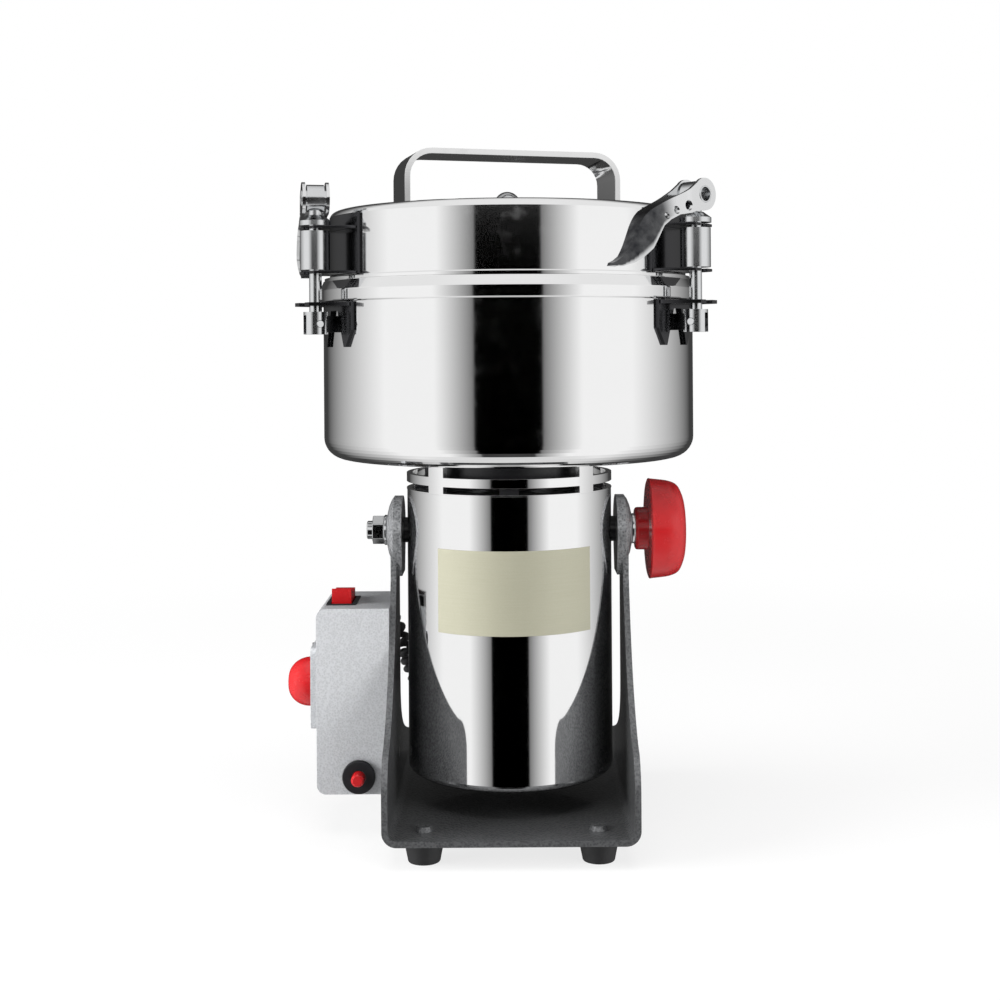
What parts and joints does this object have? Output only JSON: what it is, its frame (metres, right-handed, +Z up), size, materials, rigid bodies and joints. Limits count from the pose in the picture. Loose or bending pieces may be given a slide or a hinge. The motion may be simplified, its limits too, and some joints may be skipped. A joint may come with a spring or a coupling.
{
  "type": "electric grain mill",
  "caption": "Swing-type electric grain mill: clamped steel grinding bowl on a motor that tilts in a two-armed base with side control box",
  "frame": {"origin": "on the surface that the feet stand on, under the middle of the mill's outline; the common axis of the motor, bowl and lid is at x 6.1 mm, y -4.8 mm", "axes": "+Z up along the motor and bowl axis, -Y towards the front where the name plate is, +X towards the hand knob; the tilt axis is parallel to X"},
  "size_m": [0.1837, 0.1819, 0.2927],
  "materials": {
    "polished_steel": "mirror polished stainless steel",
    "satin_steel": "satin stainless steel",
    "zinc_steel": "bright zinc plated steel",
    "hammered_grey": "dark grey hammered enamel",
    "silver_enamel": "silver grey textured enamel",
    "red_plastic": "glossy moulded red plastic",
    "black_plastic": "black moulded plastic",
    "black_rubber": "black rubber",
    "cast_aluminium": "sand cast aluminium",
    "laminations": "stacked electrical steel sheets",
    "copper": "enamelled copper wire",
    "brass": "turned brass",
    "carbon": "pressed carbon",
    "white_plastic": "off white moulded plastic",
    "silicone": "white silicone rubber",
    "plate_film": "pale khaki printed film"
  },
  "bodies": {
    "base": {"base_frame": "hammered_grey", "rubber_feet": "black_rubber", "foot_screws": "zinc_steel", "box_shell": "silver_enamel", "box_cover": "silver_enamel", "box_screws": "zinc_steel", "timer_plate": "silver_enamel", "timer_body": "white_plastic", "rocker_housing": "black_plastic", "breaker_body": "black_plastic", "breaker_nut": "zinc_steel", "box_glands": "black_rubber", "curly_cord": "black_rubber"},
    "head": {"pivot_studs": "zinc_steel", "pivot_bushes": "black_plastic", "pivot_fasteners": "zinc_steel", "motor_cord_gland": "black_rubber", "motor_sleeve": "polished_steel", "sleeve_cap": "black_plastic", "end_frames": "cast_aluminium", "ball_bearings": "zinc_steel", "stator_core": "laminations", "field_coils": "copper", "brush_holders": "brass", "carbon_brushes": "carbon", "neck_ring": "polished_steel", "bowl_seat": "black_plastic", "bowl": "polished_steel", "bowl_screws": "zinc_steel", "shaft_seal": "black_rubber", "lid": "polished_steel", "lid_gasket": "silicone", "lid_fasteners": "zinc_steel", "handle": "polished_steel", "name_plate": "plate_film", "bowl_brackets": "satin_steel", "lid_brackets": "satin_steel", "bracket_pins": "zinc_steel"},
    "rotor": {"motor_shaft": "satin_steel", "armature_core": "laminations", "armature_windings": "copper", "commutator": "copper", "cooling_fan": "white_plastic", "blades": "satin_steel", "blade_fasteners": "zinc_steel"},
    "hand_knob": {"lock_knob": "red_plastic", "knob_insert": "brass"},
    "timer": {"timer_knob": "red_plastic", "timer_spindle": "zinc_steel"},
    "rocker": {"rocker_button": "red_plastic"},
    "reset": {"reset_button": "red_plastic"},
    "right_clamp_rod": {"right_rod": "satin_steel"},
    "left_clamp_rod": {"left_rod": "satin_steel"},
    "rear_clamp_rod": {"rear_rod": "satin_steel"},
    "right_clamp_lever": {"right_lever": "satin_steel", "right_lever_pin": "zinc_steel"},
    "left_clamp_lever": {"left_lever": "satin_steel", "left_lever_pin": "zinc_steel"},
    "rear_clamp_lever": {"rear_lever": "satin_steel", "rear_lever_pin": "zinc_steel"}
  },
  "joints": [
    {"name": "head_tilt", "type": "hinge", "parent": "base", "child": "head", "pos_m": [0.0061, -0.0048, 0.1275], "axis": [1, 0, 0], "range_deg": [0, 90], "deforming": ["curly_cord"]},
    {"name": "rotor_spin", "type": "hinge", "parent": "head", "child": "rotor", "pos_m": [0.0061, -0.0048, 0.1], "axis": [0, 0, 1], "continuous": true},
    {"name": "knob_turn", "type": "hinge", "parent": "head", "child": "hand_knob", "pos_m": [0.0711, -0.0048, 0.1275], "axis": [1, 0, 0], "range_deg": [-360, 360]},
    {"name": "timer_turn", "type": "hinge", "parent": "base", "child": "timer", "pos_m": [-0.0839, -0.0048, 0.0612], "axis": [-1, 0, 0], "range_deg": [0, 300]},
    {"name": "rocker_tip", "type": "hinge", "parent": "base", "child": "rocker", "pos_m": [-0.0667, -0.0078, 0.093], "axis": [1, 0, 0], "range_deg": [0, 12]},
    {"name": "reset_press", "type": "slide", "parent": "base", "child": "reset", "axis": [0, 1, 0], "range_m": [0, 0.0025], "stiffness_N_per_m": 400, "springref_m": -0.002},
    {"name": "right_rod_swing", "type": "hinge", "parent": "head", "child": "right_clamp_rod", "pos_m": [0.08284, -0.05182, 0.2175], "axis": [0.5225, 0.8526, 0], "range_deg": [0, 90]},
    {"name": "right_lever_lift", "type": "hinge", "parent": "right_clamp_rod", "child": "right_clamp_lever", "pos_m": [0.08284, -0.05182, 0.2692], "axis": [-0.673, 0.7396, 0], "range_deg": [0, 115]},
    {"name": "left_rod_swing", "type": "hinge", "parent": "head", "child": "left_clamp_rod", "pos_m": [-0.07299, -0.04774, 0.2175], "axis": [0.4772, -0.8788, 0], "range_deg": [0, 90]},
    {"name": "left_lever_lift", "type": "hinge", "parent": "left_clamp_rod", "child": "left_clamp_lever", "pos_m": [-0.07299, -0.04774, 0.2692], "axis": [0.977, 0.213, 0], "range_deg": [0, 115]},
    {"name": "rear_rod_swing", "type": "hinge", "parent": "head", "child": "rear_clamp_rod", "pos_m": [0.00846, 0.08517, 0.2175], "axis": [-0.9997, 0.0262, 0], "range_deg": [0, 90]},
    {"name": "rear_lever_lift", "type": "hinge", "parent": "rear_clamp_rod", "child": "rear_clamp_lever", "pos_m": [0.00846, 0.08517, 0.2692], "axis": [-0.304, -0.9527, 0], "range_deg": [0, 115]}
  ]
}
